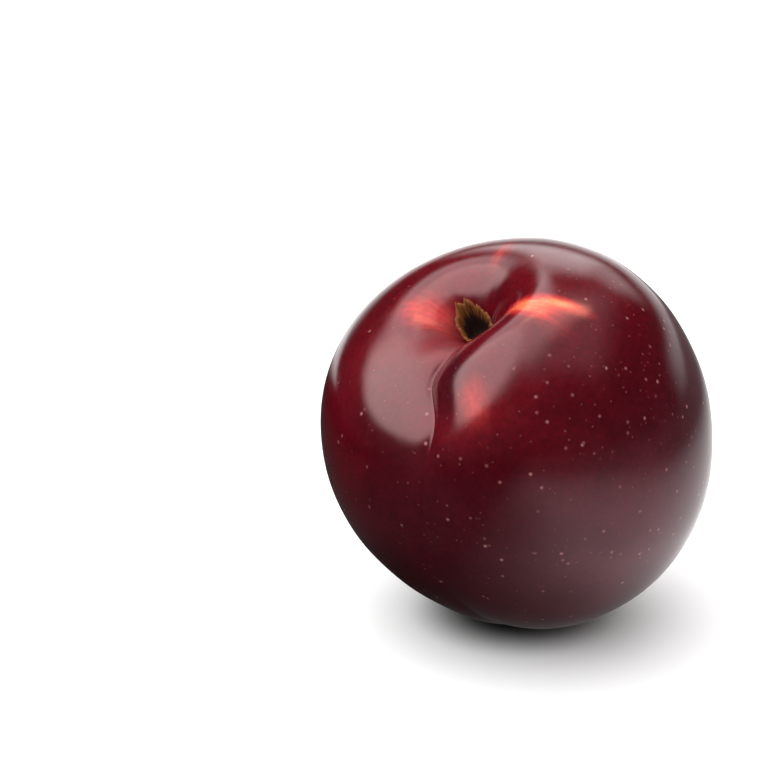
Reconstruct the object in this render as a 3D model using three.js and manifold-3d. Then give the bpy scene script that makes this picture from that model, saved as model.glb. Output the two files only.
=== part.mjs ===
// A ripe dark plum lying tipped on its cheek, with the torn foot of its stalk still in the stem cavity.
// Millimetres, +Z up. The fruit rests on z = 0, and the origin lies under the middle of its body.
//
// Each shape is a formula in the fruit's own frame: z runs up the stem axis, and x points from the axis
// to the suture, the seam that runs from the stalk to the tip. "polar" is the angle from the stem axis
// and "azimuth" the angle round it from the suture, both in radians.
import * as THREE from "three";
import { mergeVertices } from "three/addons/utils/BufferGeometryUtils.js";
import Module from "manifold-3d";

const wasm = await Module();
wasm.setup();

// Driving dimensions
const RADIUS = 31; // of the cheeks, so the plum is 62 wide
const LEAN = 26; // degrees that the stem axis leans from upright
const LEAN_TOWARDS = 225; // degrees round from +X, so it leans to the front left
const SUTURE_TURN = 17; // degrees that the suture is turned about the stem axis
const REST_HEIGHT = 30.9; // of the body's middle above the ground; what hangs lower is pressed flat
const TOUCHING_GAP = 0.3; // between the stalk's foot and the flesh that holds it

// The body: a ball with a drawn-out tip, full shoulders and a flatter side along the suture
const TIP_RISE = 1.5;
const TIP_SHARPNESS = 3;
const SHOULDER_RISE = 0.7;
const SHOULDER_AT = 54;
const SHOULDER_SPREAD = 18;
const THINNING = 0.5; // from front to back
const SLIMMING = 0.7; // of the cheek at the suture's right
const FLAT_SIDE_DEPTH = 1.8;
const FLAT_SIDE_AT = 110;
const FLAT_SIDE_TURN = -18; // degrees round from the suture

// The stem cavity: a wide funnel, steeper on one side, with a throat
const FUNNEL_DEPTH = 7.5;
const FUNNEL_SPREAD = 9;
const FUNNEL_LOPSIDED = 0.25;
const FUNNEL_STEEP_SIDE = 45;
const FUNNEL_POWER = 1.6;
const THROAT_DEPTH = 3.5;
const THROAT_SPREAD = 5.2;

// The suture: the skin sags towards it, slowly on its left and in a steep fold on its right, deepest where
// it cuts the cavity's rim. A fine crease runs along it to the tip.
const SAG = 3.4;
const SAG_AT = 27;
const SAG_SPREAD = 28;
const SAG_STARTS = [-12, 16]; // distances from the stem axis between which it sets in
const LEFT_SLOPE = 18;
const RIGHT_SLOPE = 8.5;
const FOLD_SHARE = 0.6;
const FOLD_HALF_WIDTH = 3.5;
const NARROWING = 0.4; // of the right slope's widths, away from the stem cavity
const NARROWS_BETWEEN = [27, 50]; // degrees from the stem axis
const CREASE_DEPTH = 0.4;
const CREASE_AT = 27;
const CREASE_SPREAD = 15;
const CREASE_STARTS = [1, 7];
const CREASE_BELOW = 0.4;
const CREASE_LEFT_WIDTH = 1.5;
const CREASE_RIGHT_WIDTH = 3;
const ROUNDNESS = 1.3;
const SUTURE_ENDS = [140, 178];
// Where the suture's line bends aside: degrees from the stem axis, how far that spreads, and by how much
const BENDS = [
  { at: 29, spread: 9, shift: -2.0 },
  { at: 46, spread: 9, shift: 1.0 },
  { at: 98, spread: 26, shift: -2.8 },
];

// The torn foot of the stalk: a ragged cup, tall on the side away from the suture
const FOOT_RADIUS = 2.0;
const FOOT_FLARE = 1.2; // on its tall side
const FOOT_WALL = 0.6;
const FOOT_HEIGHT = 0.6; // on its low side
const FOOT_TALL_SIDE = 236; // degrees round from the suture
const FOOT_TALLER_BY = 4.6; // on its tall side
const FOOT_SEGMENTS = 30;

// Mesh density
const SEGMENTS = 80;
const SEAM_CROWDING = 0.65; // how far the segments crowd towards the suture, from 0 to 1
const CAVITY_RINGS = 15;
const CAVITY_EDGE = 26; // degrees from the stem axis to the last cavity ring
const BODY_RINGS = 40;

const bell = (x, spread) => Math.exp(-((x / spread) ** 2));
const degrees = THREE.MathUtils.radToDeg;
const radians = THREE.MathUtils.degToRad;
const smoothstep = THREE.MathUtils.smoothstep;

// The body's distance from its middle, before the cavity and the suture are pressed into it.
function bodyRadius(polar, azimuth) {
  const across = Math.sin(polar);
  const turned = Math.cos(azimuth - radians(FLAT_SIDE_TURN));
  const flatSide =
    Math.cos(polar) * Math.cos(radians(FLAT_SIDE_AT)) + across * turned * Math.sin(radians(FLAT_SIDE_AT));
  const tip = ((1 - Math.cos(polar)) / 2) ** TIP_SHARPNESS;
  return (
    RADIUS +
    TIP_RISE * tip +
    SHOULDER_RISE * bell(degrees(polar) - SHOULDER_AT, SHOULDER_SPREAD) -
    THINNING * (across * Math.cos(azimuth)) ** 2 -
    SLIMMING * Math.max(0, across * Math.sin(azimuth)) ** 3 -
    FLAT_SIDE_DEPTH * Math.max(0, flatSide) ** 4 +
    unevenness(polar, azimuth)
  );
}

// Low waves that keep the skin from being a perfect ball. They die out at both ends of the axis.
function unevenness(polar, azimuth) {
  const across = Math.sin(polar);
  return (
    0.16 * across ** 3 * Math.sin(3 * azimuth + 1.1 + 1.5 * polar) +
    0.09 * across ** 4 * Math.sin(5 * azimuth - 0.7 - 2.2 * polar)
  );
}

// How far the skin sags towards the suture and its crease.
function sutureDepth(polar, azimuth) {
  const across = RADIUS * Math.sin(polar);
  const along = across * Math.cos(azimuth);
  const atPolar = (at, spread) => bell(degrees(polar) - at, spread);
  const bend = BENDS.reduce((sum, { at, spread, shift }) => sum + shift * atPolar(at, spread), 0);
  const right = across * Math.sin(azimuth) - bend;
  const onRight = right > 0;

  const rounded = (width) => Math.exp(-(Math.abs(right / width) ** ROUNDNESS));
  const narrowing = 1 - NARROWING * smoothstep(degrees(polar), ...NARROWS_BETWEEN);
  const broad = bell(right, RIGHT_SLOPE * narrowing);
  const flank = (1 - FOLD_SHARE) * broad + FOLD_SHARE * rounded(FOLD_HALF_WIDTH * narrowing);
  const slope = onRight ? flank : bell(right, LEFT_SLOPE);
  const sag = SAG * atPolar(SAG_AT, SAG_SPREAD) * smoothstep(along, ...SAG_STARTS) * slope;

  const depth =
    CREASE_DEPTH * atPolar(CREASE_AT, CREASE_SPREAD) +
    CREASE_BELOW * (1 - smoothstep(degrees(polar), ...SUTURE_ENDS));
  const crease = depth * rounded(onRight ? CREASE_RIGHT_WIDTH : CREASE_LEFT_WIDTH);
  return sag + crease * smoothstep(along, ...CREASE_STARTS);
}

// How far the stem cavity sinks below the body.
function cavityDepth(distance, azimuth) {
  const spread = FUNNEL_SPREAD * (1 - FUNNEL_LOPSIDED * Math.cos(azimuth - radians(FUNNEL_STEEP_SIDE)));
  const funnel = FUNNEL_DEPTH * Math.exp(-((distance / spread) ** FUNNEL_POWER));
  return funnel + THROAT_DEPTH * bell(distance, THROAT_SPREAD);
}

// A point of the skin, in the fruit's own frame.
function skinPoint(polar, azimuth) {
  const radius = bodyRadius(polar, azimuth) - sutureDepth(polar, azimuth);
  const distance = radius * Math.sin(polar);
  const sunk = polar < Math.PI / 2 ? cavityDepth(distance, azimuth) : 0;
  return new THREE.Vector3(
    distance * Math.cos(azimuth),
    distance * Math.sin(azimuth),
    radius * Math.cos(polar) - sunk,
  );
}

// A closed geometry over stacked rings of points, with a single point at each end.
function closedByRings(first, rings, last) {
  const count = rings[0].length;
  const points = [first, ...rings.flat(), last];
  const faces = [];
  for (let i = 0; i < count; i++) {
    const next = (i + 1) % count;
    faces.push(0, 1 + i, 1 + next);
    for (let ring = 0; ring < rings.length - 1; ring++) {
      const upper = 1 + ring * count;
      const lower = upper + count;
      faces.push(upper + i, lower + i, lower + next);
      faces.push(upper + i, lower + next, upper + next);
    }
    const bottom = 1 + (rings.length - 1) * count;
    faces.push(bottom + i, points.length - 1, bottom + next);
  }
  return new THREE.BufferGeometry().setFromPoints(points).setIndex(faces);
}

function fruitGeometry() {
  const polars = [];
  for (let i = 1; i <= CAVITY_RINGS; i++) {
    polars.push(radians((CAVITY_EDGE * i) / CAVITY_RINGS));
  }
  for (let i = 1; i < BODY_RINGS; i++) {
    polars.push(radians(CAVITY_EDGE + ((180 - CAVITY_EDGE) * i) / BODY_RINGS));
  }
  const azimuths = Array.from({ length: SEGMENTS }, (_, i) => {
    const even = (2 * Math.PI * i) / SEGMENTS;
    return even - SEAM_CROWDING * Math.sin(even);
  });
  const rings = polars.map((polar) => azimuths.map((azimuth) => skinPoint(polar, azimuth)));
  return closedByRings(skinPoint(0, 0), rings, skinPoint(Math.PI, 0));
}

// The ragged edge of the torn stalk, as a share of its height.
function tornEdge(azimuth) {
  return (
    0.09 * Math.sin(5 * azimuth + 0.6) +
    0.08 * Math.sin(7 * azimuth + 2.1) +
    0.08 * Math.sin(11 * azimuth + 4.0)
  );
}

function stalkFootGeometry() {
  const azimuths = Array.from({ length: FOOT_SEGMENTS }, (_, i) => (2 * Math.PI * i) / FOOT_SEGMENTS);
  // The height of the cavity's floor under the foot, which the foot's underside follows.
  const seat = (distance, azimuth) => skinPoint(Math.asin(distance / RADIUS), azimuth).z + TOUCHING_GAP;
  const towardsTallSide = (azimuth) => (1 + Math.cos(azimuth - radians(FOOT_TALL_SIDE))) / 2;
  const rim = (azimuth) =>
    (FOOT_HEIGHT + FOOT_TALLER_BY * towardsTallSide(azimuth) ** 2) * (1 + tornEdge(azimuth));
  const point = (distance, z, azimuth) =>
    new THREE.Vector3(distance * Math.cos(azimuth), distance * Math.sin(azimuth), z);
  // A ring that lies on the seat, raised by a thickness, and one part of the way up the wall, flared out.
  const onSeat = (distance, raised) =>
    azimuths.map((azimuth) => point(distance, seat(distance, azimuth) + raised, azimuth));
  const onWall = (distance, flared, up) =>
    azimuths.map((azimuth) => {
      const out = distance + flared * FOOT_FLARE * towardsTallSide(azimuth);
      return point(out, seat(FOOT_RADIUS, azimuth) + up * rim(azimuth), azimuth);
    });
  const bore = FOOT_RADIUS - FOOT_WALL;
  const rings = [
    onSeat(bore * 0.5, FOOT_WALL),
    onSeat(bore, FOOT_WALL),
    onWall(bore, 0.7, 0.7),
    onWall(bore, 1, 0.97),
    onWall(FOOT_RADIUS - FOOT_WALL * 0.4, 1, 1),
    onWall(FOOT_RADIUS, 0.9, 0.9),
    onWall(FOOT_RADIUS, 0.45, 0.45),
    onSeat(FOOT_RADIUS, 0),
    onSeat(FOOT_RADIUS * 0.5, 0),
  ];
  return closedByRings(point(0, seat(0, 0) + FOOT_WALL, 0), rings, point(0, seat(0, 0), 0));
}

// The fruit's own frame, leaned over and lifted to where it rests.
const restPose = new THREE.Matrix4()
  .makeTranslation(0, 0, REST_HEIGHT)
  .multiply(new THREE.Matrix4().makeRotationZ(radians(LEAN_TOWARDS)))
  .multiply(new THREE.Matrix4().makeRotationY(radians(LEAN)))
  .multiply(new THREE.Matrix4().makeRotationZ(radians(SUTURE_TURN)));

function solidOf(geometry) {
  const bare = geometry.clone();
  bare.deleteAttribute("normal");
  bare.deleteAttribute("uv");
  const merged = mergeVertices(bare);
  return new wasm.Manifold(
    new wasm.Mesh({
      numProp: 3,
      vertProperties: merged.attributes.position.array,
      triVerts: new Uint32Array(merged.index.array),
    }),
  );
}

function geometryOf(solid) {
  const mesh = solid.getMesh();
  return new THREE.BufferGeometry()
    .setAttribute("position", new THREE.BufferAttribute(mesh.vertProperties, 3))
    .setIndex(new THREE.BufferAttribute(mesh.triVerts, 1));
}

function namedMesh(name, geometry, material) {
  geometry.computeVertexNormals();
  const mesh = new THREE.Mesh(geometry, material);
  mesh.name = name;
  return mesh;
}

// The fruit's weight presses a small flat spot where it rests: all that would lie below the ground goes.
const groundDepth = 10;
const ground = new THREE.BoxGeometry(3 * RADIUS, 3 * RADIUS, groundDepth).translate(0, 0, -groundDepth / 2);
const restingFruit = solidOf(fruitGeometry().applyMatrix4(restPose)).subtract(solidOf(ground));

const skin = new THREE.MeshStandardMaterial({ color: 0x4d0f17, roughness: 0.28, metalness: 0 });
const driedStalk = new THREE.MeshStandardMaterial({ color: 0x6b4a1c, roughness: 0.85, metalness: 0 });

const plum = new THREE.Group();
plum.add(namedMesh("fruit", geometryOf(restingFruit), skin));
plum.add(namedMesh("stalk_foot", stalkFootGeometry().applyMatrix4(restPose), driedStalk));

export default plum;
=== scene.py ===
from math import cos, pi, radians, sin

import bpy
import numpy as np
from mathutils import Matrix, Vector


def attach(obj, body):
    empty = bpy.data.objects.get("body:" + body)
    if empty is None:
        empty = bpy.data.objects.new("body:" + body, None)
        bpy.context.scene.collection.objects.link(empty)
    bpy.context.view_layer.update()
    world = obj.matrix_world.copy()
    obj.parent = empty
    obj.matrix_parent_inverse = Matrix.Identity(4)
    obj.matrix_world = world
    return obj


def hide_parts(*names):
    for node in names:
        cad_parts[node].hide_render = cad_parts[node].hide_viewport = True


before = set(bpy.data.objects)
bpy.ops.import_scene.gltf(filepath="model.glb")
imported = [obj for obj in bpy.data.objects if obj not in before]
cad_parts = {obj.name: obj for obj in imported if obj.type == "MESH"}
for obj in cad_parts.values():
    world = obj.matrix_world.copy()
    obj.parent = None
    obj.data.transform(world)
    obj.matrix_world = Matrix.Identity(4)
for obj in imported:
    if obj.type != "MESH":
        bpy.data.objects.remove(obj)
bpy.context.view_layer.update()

# A ripe dark plum lying tipped on its cheek. The fruit and the torn foot of its stalk are made here as fine
# meshes over the same form as the solids. Lengths are in millimetres until a mesh is made, angles in degrees.
#
# The form is a formula in the fruit's own frame: z runs up the stem axis, and x points from the axis to the
# suture. "polar" is the angle from the stem axis, and "azimuth" the angle round it from the suture. Both are
# in radians.
MM = 0.001

# Driving dimensions, the same as the solids'
RADIUS = 31.0
LEAN = 26.0
LEAN_TOWARDS = 225.0
SUTURE_TURN = 17.0
REST_HEIGHT = 30.9

TIP_RISE = 1.5
TIP_SHARPNESS = 3
SHOULDER_RISE = 0.7
SHOULDER_AT = 54
SHOULDER_SPREAD = 18
THINNING = 0.5
SLIMMING = 0.7
FLAT_SIDE_DEPTH = 1.8
FLAT_SIDE_AT = 110
FLAT_SIDE_TURN = -18

FUNNEL_DEPTH = 7.5
FUNNEL_SPREAD = 9
FUNNEL_LOPSIDED = 0.25
FUNNEL_STEEP_SIDE = 45
FUNNEL_POWER = 1.6
THROAT_DEPTH = 3.5
THROAT_SPREAD = 5.2

SAG = 3.4
SAG_AT = 27
SAG_SPREAD = 28
SAG_STARTS = (-12, 16)
LEFT_SLOPE = 18
RIGHT_SLOPE = 8.5
FOLD_SHARE = 0.6
FOLD_HALF_WIDTH = 3.5
NARROWING = 0.4
NARROWS_BETWEEN = (27, 50)
CREASE_DEPTH = 0.4
CREASE_AT = 27
CREASE_SPREAD = 15
CREASE_STARTS = (1.0, 7.0)
CREASE_BELOW = 0.4
CREASE_LEFT_WIDTH = 1.5
CREASE_RIGHT_WIDTH = 3.0
ROUNDNESS = 1.3
SUTURE_ENDS = (140, 178)
BENDS = ((29, 9, -2.0), (46, 9, 1.0), (98, 26, -2.8))

FOOT_RADIUS = 2.0
FOOT_FLARE = 1.2
FOOT_WALL = 0.6
FOOT_HEIGHT = 0.6
FOOT_TALL_SIDE = 236
FOOT_TALLER_BY = 4.6

# Finer relief, which the solids leave out. A fold round the stalk is its count, height and turn.
GROUND_SOFTNESS = 0.08
FOOT_SUNK = 0.15
FOOT_FLOOR_RINGS = 8
STALK_FOLDS = ((11, 0.04, 0.4), (17, 0.02, 2.2), (29, 0.008, 4.1))
FOLDS_REACH = 6.5
FOLDS_START = (0.5, 3.0)
DENT_DEPTH = 0.05
TIP_DIMPLE_DEPTH = 0.5
TIP_DIMPLE_SPREAD = 1.5
TIP_SCAR_SPREAD = 0.9

# Mesh density
SEGMENTS = 320
SEAM_CROWDING = 0.55
CAVITY_RINGS = 130
CAVITY_EDGE = 45
BODY_RINGS = 165
FOOT_SEGMENTS = 180
FOOT_RINGS = 14


def bell(x, spread):
    return np.exp(-(x / spread) ** 2)


def smoothstep(x, low, high):
    t = np.clip((x - low) / (high - low), 0, 1)
    return t * t * (3 - 2 * t)


def body_radius(polar, azimuth):
    """The body's distance from its middle, before the cavity and the suture are pressed into it."""
    across = np.sin(polar)
    turned = np.cos(azimuth - radians(FLAT_SIDE_TURN))
    flat_side = np.cos(polar) * cos(radians(FLAT_SIDE_AT)) + across * turned * sin(radians(FLAT_SIDE_AT))
    tip = ((1 - np.cos(polar)) / 2) ** TIP_SHARPNESS
    return (
        RADIUS
        + TIP_RISE * tip
        + SHOULDER_RISE * bell(np.degrees(polar) - SHOULDER_AT, SHOULDER_SPREAD)
        - THINNING * (across * np.cos(azimuth)) ** 2
        - SLIMMING * np.maximum(0, across * np.sin(azimuth)) ** 3
        - FLAT_SIDE_DEPTH * np.maximum(0, flat_side) ** 4
        + unevenness(polar, azimuth)
    )


def unevenness(polar, azimuth):
    """Small swellings round the body, in millimetres."""
    across = np.sin(polar)
    broad = 0.16 * across**3 * np.sin(3 * azimuth + 1.1 + 1.5 * polar)
    narrow = 0.09 * across**4 * np.sin(5 * azimuth - 0.7 - 2.2 * polar)
    return broad + narrow


def from_suture(polar, azimuth):
    """How far a place lies to the right of the suture's line, and how far along it from the stem axis."""
    bend = sum(shift * bell(np.degrees(polar) - at, spread) for at, spread, shift in BENDS)
    right = RADIUS * np.sin(polar) * np.sin(azimuth) - bend
    along = RADIUS * np.sin(polar) * np.cos(azimuth)
    return right, along


def suture_depth(polar, azimuth):
    """A long sag on the left, and on the right a steep rounded fold that stands up to a broad flank."""
    right, along = from_suture(polar, azimuth)
    narrowing = 1 - NARROWING * smoothstep(np.degrees(polar), *NARROWS_BETWEEN)
    steep = np.exp(-(np.abs(right / (FOLD_HALF_WIDTH * narrowing)) ** ROUNDNESS))
    flank = (1 - FOLD_SHARE) * bell(right, RIGHT_SLOPE * narrowing) + FOLD_SHARE * steep
    sag = SAG * bell(np.degrees(polar) - SAG_AT, SAG_SPREAD) * smoothstep(along, *SAG_STARTS)
    sag = sag * np.where(right > 0, flank, bell(right, LEFT_SLOPE))
    fade = 1 - smoothstep(np.degrees(polar), *SUTURE_ENDS)
    crease = CREASE_DEPTH * bell(np.degrees(polar) - CREASE_AT, CREASE_SPREAD) + CREASE_BELOW * fade
    width = np.where(right > 0, CREASE_RIGHT_WIDTH, CREASE_LEFT_WIDTH)
    crease = crease * np.exp(-(np.abs(right / width) ** ROUNDNESS)) * smoothstep(along, *CREASE_STARTS)
    return sag + crease


def cavity_depth(distance, azimuth):
    spread = FUNNEL_SPREAD * (1 - FUNNEL_LOPSIDED * np.cos(azimuth - radians(FUNNEL_STEEP_SIDE)))
    funnel = FUNNEL_DEPTH * np.exp(-((distance / spread) ** FUNNEL_POWER))
    return funnel + THROAT_DEPTH * bell(distance, THROAT_SPREAD)


def skin_points(polar, azimuth):
    """Points of the skin in the fruit's own frame, as an array with x, y, z in its last axis."""
    radius = body_radius(polar, azimuth) - suture_depth(polar, azimuth)
    distance = radius * np.sin(polar)
    sunk = np.where(polar < pi / 2, cavity_depth(distance, azimuth), 0)
    return np.stack(
        [distance * np.cos(azimuth), distance * np.sin(azimuth), radius * np.cos(polar) - sunk], axis=-1
    )


def fine_relief(polar, azimuth):
    """How far the relief stands out of the skin: folds round the stalk, faint dents and the tip's dimple."""
    distance = RADIUS * np.sin(polar)
    near_stalk = np.where(polar < pi / 2, bell(distance, FOLDS_REACH) * smoothstep(distance, *FOLDS_START), 0)
    folds = sum(height * np.sin(count * azimuth + turn) for count, height, turn in STALK_FOLDS)
    x = distance * np.cos(azimuth)
    y = distance * np.sin(azimuth)
    z = RADIUS * np.cos(polar)
    dents = np.sin(0.31 * x + 1.3 * np.sin(0.17 * y)) * np.sin(0.27 * z + 0.9)
    dents = dents + np.sin(0.43 * y - 0.38 * z + 2.1)
    dimple = np.where(polar > pi / 2, bell(distance, TIP_DIMPLE_SPREAD), 0)
    return folds * near_stalk + DENT_DEPTH * (dents - 2) / 2 - TIP_DIMPLE_DEPTH * dimple


REST_TURN = (
    Matrix.Rotation(radians(LEAN_TOWARDS), 3, "Z")
    @ Matrix.Rotation(radians(LEAN), 3, "Y")
    @ Matrix.Rotation(radians(SUTURE_TURN), 3, "Z")
)


def at_rest(points):
    """Own-frame points leaned over, lifted to where the fruit rests and pressed flat against the ground."""
    placed = points @ np.array(REST_TURN).T + np.array([0, 0, REST_HEIGHT])
    placed[..., 2] = (placed[..., 2] + np.hypot(placed[..., 2], GROUND_SOFTNESS)) / 2
    return placed


def ring_faces(rings, count):
    """Quads between rings of points, with a triangle fan round the first point and one round the last."""
    faces = []
    last = 1 + rings * count
    for i in range(count):
        j = (i + 1) % count
        faces.append((0, 1 + i, 1 + j))
        for ring in range(rings - 1):
            upper = 1 + ring * count
            lower = upper + count
            faces.append((upper + i, lower + i, lower + j, upper + j))
        bottom = 1 + (rings - 1) * count
        faces.append((bottom + i, last, bottom + j))
    return faces


def new_mesh_object(name, points_mm, faces):
    mesh = bpy.data.meshes.new(name)
    mesh.from_pydata((points_mm * MM).tolist(), [], faces)
    mesh.polygons.foreach_set("use_smooth", [True] * len(mesh.polygons))
    mesh.validate()
    piece = bpy.data.objects.new(name, mesh)
    bpy.context.scene.collection.objects.link(piece)
    return piece


def set_attribute(piece, name, values):
    """Stores a value or a vector for each point, for the materials to read."""
    vectors = values.ndim == 2
    layer = piece.data.attributes.new(name, "FLOAT_VECTOR" if vectors else "FLOAT", "POINT")
    layer.data.foreach_set("vector" if vectors else "value", values.astype(np.float32).ravel())


def set_bake_map(piece, rings, count):
    """A map of the skin by rings and segments, fine where they are fine."""
    layer = piece.data.uv_layers.new(name="OFBake")
    corners = np.zeros((len(piece.data.loops), 2))
    last = 1 + rings * count
    for face in piece.data.polygons:
        points = list(face.vertices)
        inner = [(point - 1) % count for point in points if 0 < point < last]
        wraps = max(inner) - min(inner) > 1
        turned = [index + count if wraps and index == 0 else index for index in inner]
        middle = sum(turned) / len(turned)
        inner_turns = iter(turned)
        for loop, point in zip(face.loop_indices, points):
            ring = 0 if point == 0 else rings + 1 if point == last else (point - 1) // count + 1
            turn = middle if point in (0, last) else next(inner_turns)
            corners[loop] = (turn / count, 1 - ring / (rings + 1))
    layer.data.foreach_set("uv", corners.ravel())


def make_fruit():
    polars = radians(CAVITY_EDGE) * (np.arange(1, CAVITY_RINGS + 1) / CAVITY_RINGS)
    below = radians(CAVITY_EDGE) + radians(180 - CAVITY_EDGE) * (np.arange(1, BODY_RINGS) / BODY_RINGS)
    polars = np.concatenate([polars, below])
    even = 2 * pi * np.arange(SEGMENTS) / SEGMENTS
    azimuths = even - SEAM_CROWDING * np.sin(even)
    polar, azimuth = np.meshgrid(polars, azimuths, indexing="ij")
    polar = np.concatenate([[0.0], polar.ravel(), [pi]])
    azimuth = np.concatenate([[0.0], azimuth.ravel(), [0.0]])
    own = skin_points(polar, azimuth)
    outward = own / np.linalg.norm(own, axis=-1, keepdims=True)
    own = own + outward * fine_relief(polar, azimuth)[:, None]
    fruit = new_mesh_object("plum_fruit", at_rest(own), ring_faces(len(polars), SEGMENTS))
    set_bake_map(fruit, len(polars), SEGMENTS)
    set_attribute(fruit, "own_place", own)
    for name, values in pigment_masks(polar, azimuth).items():
        set_attribute(fruit, name, values)
    return fruit


def spot(polar, azimuth, at_polar, at_azimuth, long, wide):
    """A soft spot on the skin round a place given in degrees. Its size, "long" on the meridian, is in mm."""
    along = RADIUS * (polar - radians(at_polar))
    turn = (azimuth - radians(at_azimuth) + pi) % (2 * pi) - pi
    aside = RADIUS * np.sin(polar) * turn
    return np.exp(-((along / long) ** 2) - (aside / wide) ** 2)


def pigment_masks(polar, azimuth):
    """Where the skin is brighter or darker than its deep red, where the wax and the dots are dense, and where
    highlight, shade and sheen are painted in.
    """
    place = (polar, azimuth)
    # Lighter ground colour round the stem cavity. The narrow spots on the cavity's right rim are partly a
    # painted highlight: the warm streak of light along it.
    blush_and_streak_highlight = (
        0.38 * spot(*place, 15, -88, 5.0, 3.4)
        + 0.16 * spot(*place, 19, -100, 6, 6)
        + 0.8 * spot(*place, 20, 84, 4.5, 1.5)
        + 0.9 * spot(*place, 28, 94, 5.0, 1.3)
        + 0.2 * spot(*place, 28, 78, 6, 3)
        + 0.4 * spot(*place, 39, 23, 4.5, 2.8)
        + 0.1 * spot(*place, 28, 150, 4, 8)
        + 0.28 * spot(*place, 25, 180, 5, 1.6)
        + 0.3 * spot(*place, 10, 30, 2.5, 2.5)
    )
    crimson = (
        0.4 * spot(*place, 0, 0, 16, 1000)
        + 0.6 * spot(*place, 48, 110, 14, 18)
        + 0.4 * spot(*place, 34, -130, 8, 10)
        + 0.9 * spot(*place, 47, 14, 4, 6)
        + 0.6 * spot(*place, 45, 40, 8, 5)
        + 0.3 * spot(*place, 62, -40, 10, 9)
        + 0.5 * spot(*place, 30, -60, 9, 9)
        + 0.8 * spot(*place, 11, -10, 6, 6)
    )
    maroon_and_fold_shade = (
        0.7 * spot(*place, 75, 100, 16, 14)
        + 0.8 * spot(*place, 92, 5, 16, 20)
        # A painted shade: the narrow dark strip on the fold's flank beside the suture.
        + 0.9 * spot(*place, 30, 12, 7, 2.5)
    )
    # Wax bloom, partly a painted sheen: the spots low on the right and at the front left stand in for the
    # table mirrored in the skin.
    bloom_and_sheen = 0.5 * spot(*place, 96, 55, 14, 16) + 0.12 * spot(*place, 66, -5, 14, 12)
    matt = spot(*place, 13, -30, 4.5, 4.0)
    dots = 0.17 + 0.6 * spot(*place, 60, 90, 18, 16) + 0.5 * spot(*place, 85, 45, 20, 26)
    cavity = 1 - smoothstep(np.degrees(polar), 22, 34)
    masks = {"blush_and_streak_highlight": blush_and_streak_highlight, "crimson": crimson, "maroon_and_fold_shade": maroon_and_fold_shade, "bloom_and_sheen": bloom_and_sheen, "matt": matt}
    masks["dots"] = dots * (1 - cavity)
    masks = {name: np.clip(values, 0, 1) for name, values in masks.items()}
    fibre = np.stack([np.cos(azimuth), np.sin(azimuth), 0.6 * polar], axis=-1)
    return {**masks, "fibre": fibre, "tip": bell(RADIUS * (pi - polar), TIP_SCAR_SPREAD)}


def torn_edge(azimuth):
    """The ragged edge of the torn stalk, as a share of its height."""
    return (
        0.09 * np.sin(5 * azimuth + 0.6)
        + 0.08 * np.sin(7 * azimuth + 2.1)
        + 0.08 * np.sin(11 * azimuth + 4.0)
        + 0.05 * np.sin(23 * azimuth + 1.0)
        + 0.03 * np.sin(37 * azimuth + 3.0)
    )


def fibres(azimuth, up):
    """The ridges of the stalk's dried fibres."""
    coarse = 0.05 * np.sin(19 * azimuth + 1.5 * np.sin(3 * azimuth) + up)
    return coarse + 0.03 * np.sin(43 * azimuth + 1.3 - 2 * up)


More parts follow.
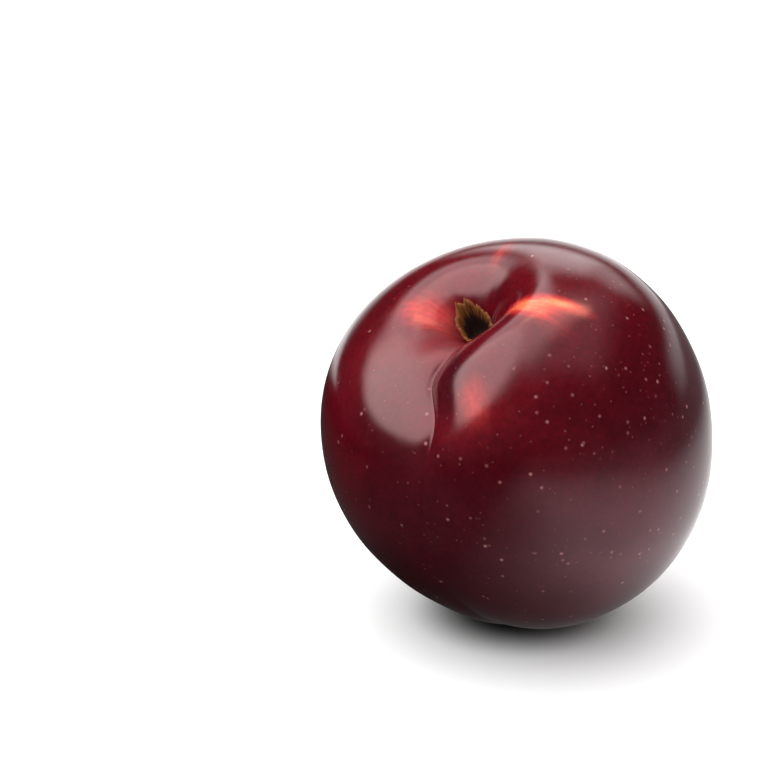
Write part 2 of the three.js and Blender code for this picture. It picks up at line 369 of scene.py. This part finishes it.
def make_stalk_foot():
    azimuths = 2 * pi * np.arange(FOOT_SEGMENTS) / FOOT_SEGMENTS
    bore = FOOT_RADIUS - FOOT_WALL
    towards_tall_side = (1 + np.cos(azimuths - radians(FOOT_TALL_SIDE))) / 2
    top = (FOOT_HEIGHT + FOOT_TALLER_BY * towards_tall_side**2) * (1 + torn_edge(azimuths))
    flare = FOOT_FLARE * towards_tall_side

    def seat(distance):
        polar = np.arcsin(distance / RADIUS) * np.ones_like(azimuths)
        return skin_points(polar, azimuths)[:, 2] - FOOT_SUNK

    rings = []

    def add_ring(distance, z, up, inside):
        rings.append((distance * np.ones_like(azimuths), z, up * np.ones_like(azimuths), inside))

    # Up the lumpy floor of the cup and its wall, over the torn edge, and down the outside
    for share in np.linspace(0.12, 1, FOOT_FLOOR_RINGS):
        lumps = 0.12 * np.sin(5 * azimuths + 9 * share) + 0.1 * np.sin(9 * azimuths - 7 * share)
        rise = FOOT_SUNK + FOOT_WALL * (0.7 + 0.3 * share**4) + lumps * share
        add_ring(bore * share, seat(bore * share) + rise, 0, 1)
    base = seat(FOOT_RADIUS) + FOOT_SUNK
    for up in np.linspace(0.25, 0.97, FOOT_RINGS):
        widened = bore + (flare + FOOT_WALL * 0.45) * up**1.5 + 1.6 * fibres(azimuths + 0.1, 3 * up) * up
        add_ring(widened, base + up * top, up, 1)
    add_ring(FOOT_RADIUS + flare - 0.12 + fibres(azimuths, 3), base + top, 1, 0.5)
    for up in np.linspace(0.97, 0.0, FOOT_RINGS):
        add_ring(FOOT_RADIUS + flare * up**1.2 + fibres(azimuths, 3 * up), base + up * top, up, 0)
    for share in (1.0, 0.6, 0.2):
        add_ring(FOOT_RADIUS * share, seat(FOOT_RADIUS * share), 0, 0)

    def own_points(distance, z):
        return np.stack([distance * np.cos(azimuths), distance * np.sin(azimuths), z], axis=-1)

    loops = [own_points(distance, z) for distance, z, up, inside in rings]
    first = loops[0].mean(axis=0, keepdims=True)
    last = loops[-1].mean(axis=0, keepdims=True)
    own = np.concatenate([first, *loops, last])
    foot = new_mesh_object("plum_stalk_foot", at_rest(own), ring_faces(len(rings), FOOT_SEGMENTS))
    heights = np.concatenate([[0.0], *[up for distance, z, up, inside in rings], [0.0]])
    # Which points lie inside the cup, for its painted shade.
    inside_shade = np.concatenate([[1.0], *[inside * np.ones_like(azimuths) for *rest, inside in rings], [0.0]])
    turns = np.concatenate([[0.0], np.tile(azimuths, len(rings)), [0.0]])
    set_attribute(foot, "up", heights)
    set_attribute(foot, "inside_shade", inside_shade)
    set_attribute(foot, "fibre", np.stack([np.cos(turns), np.sin(turns), 0.12 * heights], axis=-1))
    return foot


def add_node(tree, kind, inputs=(), **settings):
    """Adds a shader node. An input is a value, or a socket to link from."""
    node = tree.nodes.new(kind)
    for name, value in settings.items():
        setattr(node, name, value)
    for key, value in dict(inputs).items():
        if isinstance(value, bpy.types.NodeSocket):
            tree.links.new(value, node.inputs[key])
        else:
            node.inputs[key].default_value = value
    return node


def new_material(name):
    material = bpy.data.materials.new(name)
    material.use_nodes = True
    tree = material.node_tree
    return material, tree, tree.nodes["Principled BSDF"]


def attribute(tree, name, kind="Fac"):
    return add_node(tree, "ShaderNodeAttribute", attribute_name=name).outputs[kind]


def noise(tree, place, scale, detail=2.0, roughness=0.5):
    inputs = {"Vector": place, "Scale": scale, "Detail": detail, "Roughness": roughness}
    return add_node(tree, "ShaderNodeTexNoise", inputs).outputs["Fac"]


def spread(tree, value, low, high, to_low=0.0, to_high=1.0):
    """A value's range from low to high, smoothed and stretched to another range."""
    inputs = {"Value": value, "From Min": low, "From Max": high, "To Min": to_low, "To Max": to_high}
    return add_node(tree, "ShaderNodeMapRange", inputs, interpolation_type="SMOOTHSTEP").outputs["Result"]


def maths(tree, operation, a, b):
    return add_node(tree, "ShaderNodeMath", {0: a, 1: b}, operation=operation).outputs[0]


def dot(tree, direction, axis):
    inputs = {0: direction, 1: tuple(axis)}
    return add_node(tree, "ShaderNodeVectorMath", inputs, operation="DOT_PRODUCT").outputs["Value"]


def bump(tree, height, rise, strength=1.0, on=None):
    """Normals that are raised by a height of up to "rise" millimetres, over others if they are given."""
    inputs = {"Height": height, "Strength": strength, "Distance": rise * MM}
    if on is not None:
        inputs["Normal"] = on
    return add_node(tree, "ShaderNodeBump", inputs).outputs[0]


def blend(tree, factor, a, b):
    """Mixes two colours, each a socket or three numbers."""
    a, b = ((*colour, 1) if isinstance(colour, tuple) else colour for colour in (a, b))
    return add_node(tree, "ShaderNodeMix", {0: factor, 6: a, 7: b}, data_type="RGBA").outputs[2]


# The skin's pigments
DEEP_RED = (0.05, 0.0006, 0.0035)
WINE_RED = (0.068, 0.0008, 0.0045)
CRIMSON = (0.135, 0.0006, 0.0045)
MAROON = (0.045, 0.002, 0.006)
BLUSH = (0.5, 0.025, 0.02)
STREAK_HIGHLIGHT_ORANGE = (0.75, 0.22, 0.08)
WAX_AND_SHEEN = (0.35, 0.22, 0.27)
DOT = (0.5, 0.2, 0.19)
SCAR = (0.16, 0.07, 0.03)

# The pale dots
DOT_CELL = 2.0
DOT_RADIUS = 0.42
DOT_STRENGTH = 0.8
FAINT_DOT_CELL = 1.3
FAINT_DOT_RADIUS = 0.26
FAINT_DOT_SHARE = 0.3
DOT_RISE = 0.02

# Grain and gloss of the skin. A noise is its scale, detail and roughness.
STREAKS = (11.0, 3.0, 0.6)
CLOUD = (0.11, 3.0, 0.55)
GRAIN = (1.1, 3.0, 0.6)
SMUDGES = (0.35, 4.0, 0.6)
GRAIN_RISE = 0.004
GLOSSIEST = 0.14
SMUDGED = 0.19
MATT = 0.65
MIRRORED_TINT = (1.0, 0.68, 0.75, 1)
FILM = (0.08, 0.16)

# The stalk's foot
STRAND_NOISE = (9.0, 4.0, 0.7)
DARK_STRAND = (0.045, 0.012, 0.002)
LIGHT_STRAND = (0.17, 0.055, 0.009)
TORN_RIM_HIGHLIGHT = (0.27, 0.1, 0.035)
HOLLOW_SHADE = (0.012, 0.004, 0.003)
STALK_SPECULAR = 0.15
STRAND_RISE = 0.08


def dots_mask(tree, place, density, cell, radius):
    """Pale dots where a cell's point happens to lie near the skin, so their sizes and gaps vary."""
    inputs = {"Vector": place, "Scale": 1 / cell, "Randomness": 1.0}
    cells = add_node(tree, "ShaderNodeTexVoronoi", inputs, feature="F1")
    chances = add_node(tree, "ShaderNodeSeparateColor", {0: cells.outputs["Color"]}).outputs
    kept = maths(tree, "LESS_THAN", chances[0], density)
    strength = maths(tree, "MULTIPLY", kept, spread(tree, chances[1], 0.0, 1.0, 0.35, 1.0))
    return maths(tree, "MULTIPLY", strength, spread(tree, cells.outputs["Distance"], radius / cell, 0.0))


def skin_material():
    material, tree, shader = new_material("plum_skin")
    place = attribute(tree, "own_place", "Vector")
    streaks = noise(tree, attribute(tree, "fibre", "Vector"), *STREAKS)
    cloud = noise(tree, place, *CLOUD)
    grain = noise(tree, place, *GRAIN)

    colour = blend(tree, spread(tree, cloud, 0.35, 0.65), DEEP_RED, WINE_RED)
    crimson = maths(tree, "MULTIPLY", attribute(tree, "crimson"), spread(tree, cloud, 0.25, 0.6, 0.5, 1.0))
    colour = blend(tree, crimson, colour, CRIMSON)
    # Darker maroon in places, and along the fold's flank a painted shade.
    colour = blend(tree, attribute(tree, "maroon_and_fold_shade"), colour, MAROON)
    glow = maths(tree, "MULTIPLY", attribute(tree, "blush_and_streak_highlight"), spread(tree, streaks, 0.3, 0.7, 0.8, 1.1))
    colour = blend(tree, spread(tree, glow, 0.05, 0.6), colour, BLUSH)
    # Where that mask is strongest, a painted orange highlight: the warm streak along the cavity's right rim.
    colour = blend(tree, spread(tree, glow, 0.45, 1.1), colour, STREAK_HIGHLIGHT_ORANGE)
    brightness = spread(tree, grain, 0.3, 0.7, 0.85, 1.15)
    colour = add_node(tree, "ShaderNodeHueSaturation", {"Color": colour, "Value": brightness}).outputs[0]
    density = attribute(tree, "dots")
    faint = dots_mask(tree, place, density, FAINT_DOT_CELL, FAINT_DOT_RADIUS)
    faint = maths(tree, "MULTIPLY", faint, FAINT_DOT_SHARE)
    dots = maths(tree, "MAXIMUM", faint, dots_mask(tree, place, density, DOT_CELL, DOT_RADIUS))
    colour = blend(tree, maths(tree, "MULTIPLY", dots, DOT_STRENGTH), colour, DOT)
    # The wax film, which over the bloom spots is partly a painted sheen of the mirrored table.
    film = maths(tree, "MULTIPLY", attribute(tree, "bloom_and_sheen"), spread(tree, cloud, 0.3, 0.7, *FILM))
    colour = blend(tree, film, colour, WAX_AND_SHEEN)
    colour = blend(tree, attribute(tree, "tip"), colour, SCAR)
    tree.links.new(colour, shader.inputs["Base Color"])

    smudges = noise(tree, place, *SMUDGES)
    dull = maths(tree, "MAXIMUM", maths(tree, "MULTIPLY", attribute(tree, "matt"), MATT), film)
    roughness = maths(tree, "ADD", spread(tree, smudges, 0.3, 0.7, GLOSSIEST, SMUDGED), dull)
    tree.links.new(roughness, shader.inputs["Roughness"])
    grained = bump(tree, grain, GRAIN_RISE)
    tree.links.new(bump(tree, dots, DOT_RISE, on=grained), shader.inputs["Normal"])
    shader.inputs["Specular Tint"].default_value = MIRRORED_TINT
    return material


def stalk_material():
    material, tree, shader = new_material("dried_stalk")
    strands = noise(tree, attribute(tree, "fibre", "Vector"), *STRAND_NOISE)
    up = attribute(tree, "up")
    colour = blend(tree, spread(tree, strands, 0.35, 0.65), DARK_STRAND, LIGHT_STRAND)
    # A painted highlight: the colour grows paler towards the torn rim.
    colour = blend(tree, spread(tree, up, 0.8, 1.0, 0.0, 0.7), colour, TORN_RIM_HIGHLIGHT)
    # A painted shade: inside the cup the colour goes near black below the rim.
    shade = maths(tree, "MULTIPLY", attribute(tree, "inside_shade"), spread(tree, up, 0.8, 0.45))
    colour = blend(tree, shade, colour, HOLLOW_SHADE)
    tree.links.new(colour, shader.inputs["Base Color"])
    tree.links.new(spread(tree, strands, 0.3, 0.7, 0.6, 0.9), shader.inputs["Roughness"])
    shader.inputs["Specular IOR Level"].default_value = STALK_SPECULAR
    tree.links.new(bump(tree, strands, STRAND_RISE, strength=0.8), shader.inputs["Normal"])
    return material


# The table, in metres. Between two distances from where the fruit rests, a painted shadow fades to white.
FLOOR_REACH = 3.0
PAPER = (0.95, 0.95, 0.95)
LIT_BETWEEN = (0.005, 0.018)
LEAST_LIT = 0.03

# To all but the camera, the table is a glow of painted light, with painted shade close to the fruit.
# What the fruit sees of the table: how bright it is from its left to its right, close by and far behind
SEEN_FROM_TO = (-0.025, 0.03)
SEEN_LEFT = 0.05
SEEN_RIGHT = 1.3
SEEN_NEAR_TO = (0.05, 0.25)
SEEN_AWAY = 0.12
SHADED_BETWEEN = (0.016, 0.045)
SHADED = 0.15
SEEN_BEHIND_FROM = (0.1, 0.2)
SEEN_BEHIND = 1.5
BEHIND_NARROWS = (1.2, 0.3, 0.0)


def make_floor():
    mesh = bpy.data.meshes.new("floor")
    reach = FLOOR_REACH
    corners = [(-reach, -reach, 0), (reach, -reach, 0), (reach, reach, 0), (-reach, reach, 0)]
    mesh.from_pydata(corners, [], [(0, 1, 2, 3)])
    floor = bpy.data.objects.new("floor", mesh)
    bpy.context.scene.collection.objects.link(floor)
    material, tree, shader = new_material("floor_white")
    shader.inputs["Roughness"].default_value = 0.7
    place = add_node(tree, "ShaderNodeTexCoord").outputs["Object"]
    split = add_node(tree, "ShaderNodeSeparateXYZ", {0: place})
    away = add_node(tree, "ShaderNodeVectorMath", {0: place}, operation="LENGTH").outputs["Value"]
    # A painted contact shadow: where the fruit touches it, the paper's colour goes nearly black.
    lit = spread(tree, away, *LIT_BETWEEN, LEAST_LIT, 1.0)
    tree.links.new(blend(tree, lit, (0.0, 0.0, 0.0), PAPER), shader.inputs["Base Color"])
    on_right = spread(tree, split.outputs["X"], *SEEN_FROM_TO, SEEN_LEFT, SEEN_RIGHT)
    far = spread(tree, away, *SEEN_NEAR_TO, 1.0, SEEN_AWAY)
    shaded = spread(tree, away, *SHADED_BETWEEN, SHADED, 1.0)
    nearby = maths(tree, "MULTIPLY", on_right, maths(tree, "MULTIPLY", far, shaded))
    aside = maths(tree, "ABSOLUTE", dot(tree, place, BEHIND_NARROWS), 0.0)
    behind = maths(tree, "SUBTRACT", split.outputs["Y"], aside)
    strength = maths(tree, "MAXIMUM", nearby, spread(tree, behind, *SEEN_BEHIND_FROM, 0.0, SEEN_BEHIND))
    # The glow of painted light and shade that all rays but the camera's see on the table.
    seen = add_node(tree, "ShaderNodeEmission", {"Color": (1, 1, 1, 1), "Strength": strength})
    to_camera = add_node(tree, "ShaderNodeLightPath").outputs["Is Camera Ray"]
    choose = add_node(tree, "ShaderNodeMixShader", {0: to_camera, 1: seen.outputs[0], 2: shader.outputs[0]})
    tree.links.new(choose.outputs[0], tree.nodes["Material Output"].inputs["Surface"])
    mesh.materials.append(material)


# The studio's light panels, which the skin mirrors. Azimuth 0 is straight behind the fruit as the camera sees
# it and grows to the right. Half sizes are in degrees, and softness is how far the edges fade, as a sine.
WHITE = (1, 1, 1)
CREAM = (1, 0.97, 0.9)
WARM = (1, 0.8, 0.6)
PANELS = (
    {"at": (-60, 84), "half": (22, 18), "softness": 0.13, "radiance": 3.6, "colour": CREAM},
    {"at": (-36, 57), "half": (20, 15), "softness": 0.07, "radiance": 3.0, "colour": WHITE},
    {"at": (17, 71), "half": (19, 4.3), "softness": 0.05, "radiance": 7.2, "colour": WARM, "roll": 12},
    {"at": (5, 31), "half": (14, 12), "softness": 0.1, "radiance": 2.6, "colour": WHITE},
    {"at": (28, 30), "half": (10, 10), "softness": 0.1, "radiance": 1.4, "colour": WHITE},
    {"at": (80, 80), "half": (28, 28), "softness": 0.15, "radiance": 0.8, "colour": WHITE},
)

# The large round lamp at the left. Its light fades in between two angles from its middle.
LAMP_AT = (-99, 54)
LAMP_FADES = (36, 27)
LAMP_LIGHT = (5.4, 5.25, 4.85)

# The dome that lights the scene, by how near a direction is to its brightest side, and what the skin mirrors
# of the room besides the lights: a low band behind, and a dim rest
DOME_BRIGHTEST = (-0.5, 0.0, 0.85)
DOME_LEAST = 0.28
DOME_MOST = 2.45
BAND_MIDDLE = (0.3, 0.95, 0.0)
BAND_FADES = (0.6, 0.85)
BAND_TOP = (0.08, 0.25)
DIM_ROOM = 0.03


def towards(azimuth, elevation):
    azimuth, elevation = radians(azimuth), radians(elevation)
    return Vector((sin(azimuth) * cos(elevation), cos(azimuth) * cos(elevation), sin(elevation)))


def panel_light(tree, direction, at, half, softness, radiance, colour, roll=0):
    """The light from a soft-edged panel in the given direction, as a colour."""
    middle = towards(*at)
    azimuth = radians(at[0])
    right = Matrix.Rotation(radians(roll), 3, middle) @ Vector((cos(azimuth), -sin(azimuth), 0))
    mask = maths(tree, "GREATER_THAN", dot(tree, direction, middle), 0.0)
    for axis, half_size in ((right, half[0]), (right.cross(middle), half[1])):
        aside = maths(tree, "ABSOLUTE", dot(tree, direction, axis), 0.0)
        edge = sin(radians(half_size))
        mask = maths(tree, "MULTIPLY", mask, spread(tree, aside, edge - softness, edge + softness, 1.0, 0.0))
    full = tuple(radiance * share for share in colour)
    return add_node(tree, "ShaderNodeVectorMath", {0: full, 3: mask}, operation="SCALE").outputs["Vector"]


def make_world():
    """A bright dome lights the scene, more so at the left. The skin mirrors a lamp, panels and a low band."""
    world = bpy.data.worlds.new("studio")
    world.use_nodes = True
    world.cycles.sampling_method = "NONE"
    tree = world.node_tree
    tree.nodes.clear()
    direction = add_node(tree, "ShaderNodeTexCoord").outputs["Generated"]
    height = add_node(tree, "ShaderNodeSeparateXYZ", {0: direction}).outputs["Z"]
    dome = spread(tree, dot(tree, direction, DOME_BRIGHTEST), -0.3, 1.0, DOME_LEAST, DOME_MOST)
    behind = spread(tree, dot(tree, direction, BAND_MIDDLE), *BAND_FADES)
    band = maths(tree, "MULTIPLY", behind, spread(tree, height, *BAND_TOP, 1.0, 0.0))
    fades = [cos(radians(angle)) for angle in LAMP_FADES]
    lamp = spread(tree, dot(tree, direction, towards(*LAMP_AT)), *fades)
    mirrored = blend(tree, lamp, maths(tree, "ADD", band, DIM_ROOM), LAMP_LIGHT)
    for panel in PANELS:
        inputs = {0: mirrored, 1: panel_light(tree, direction, **panel)}
        mirrored = add_node(tree, "ShaderNodeVectorMath", inputs, operation="MAXIMUM").outputs["Vector"]
    path = add_node(tree, "ShaderNodeLightPath").outputs
    light = blend(tree, path["Is Glossy Ray"], dome, mirrored)
    light = blend(tree, path["Is Camera Ray"], light, WHITE)
    background = add_node(tree, "ShaderNodeBackground", {"Color": light, "Strength": 1.0})
    output = add_node(tree, "ShaderNodeOutputWorld")
    tree.links.new(background.outputs[0], output.inputs["Surface"])
    bpy.context.scene.world = world


# The camera, with the photograph's framing in pixels of its 768 by 768 frame
BODY_CENTRE = Vector((0, 0, REST_HEIGHT * MM))
PHOTO_SIZE = 768
PHOTO_CENTRE_OF_FRUIT = (517, 433)
CAMERA_ELEVATION = 20
CAMERA_DISTANCE = 0.371
CAMERA_LENS = 110
SENSOR_WIDTH = 36


def make_camera():
    data = bpy.data.cameras.new("camera")
    data.lens = CAMERA_LENS
    data.sensor_width = SENSOR_WIDTH
    data.clip_start = 0.01
    camera = bpy.data.objects.new("camera", data)
    elevation = radians(CAMERA_ELEVATION)
    right = Vector((1, 0, 0))
    look = Vector((0, cos(elevation), -sin(elevation)))
    up = right.cross(look)
    focal = CAMERA_LENS / SENSOR_WIDTH * PHOTO_SIZE
    to_right = (PHOTO_CENTRE_OF_FRUIT[0] - PHOTO_SIZE / 2) / focal
    to_up = (PHOTO_SIZE / 2 - PHOTO_CENTRE_OF_FRUIT[1]) / focal
    ray = (look + to_right * right + to_up * up).normalized()
    camera.location = BODY_CENTRE - ray * CAMERA_DISTANCE
    camera.rotation_euler = Matrix((right, up, -look)).transposed().to_euler()
    bpy.context.scene.collection.objects.link(camera)
    bpy.context.scene.camera = camera


make_camera()
fruit = make_fruit()
fruit.data.materials.append(skin_material())
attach(fruit, "root")
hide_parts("fruit")
foot = make_stalk_foot()
foot.data.materials.append(stalk_material())
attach(foot, "root")
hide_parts("stalk_foot")
make_floor()
make_world()
bpy.context.scene.view_settings.view_transform = "Standard"
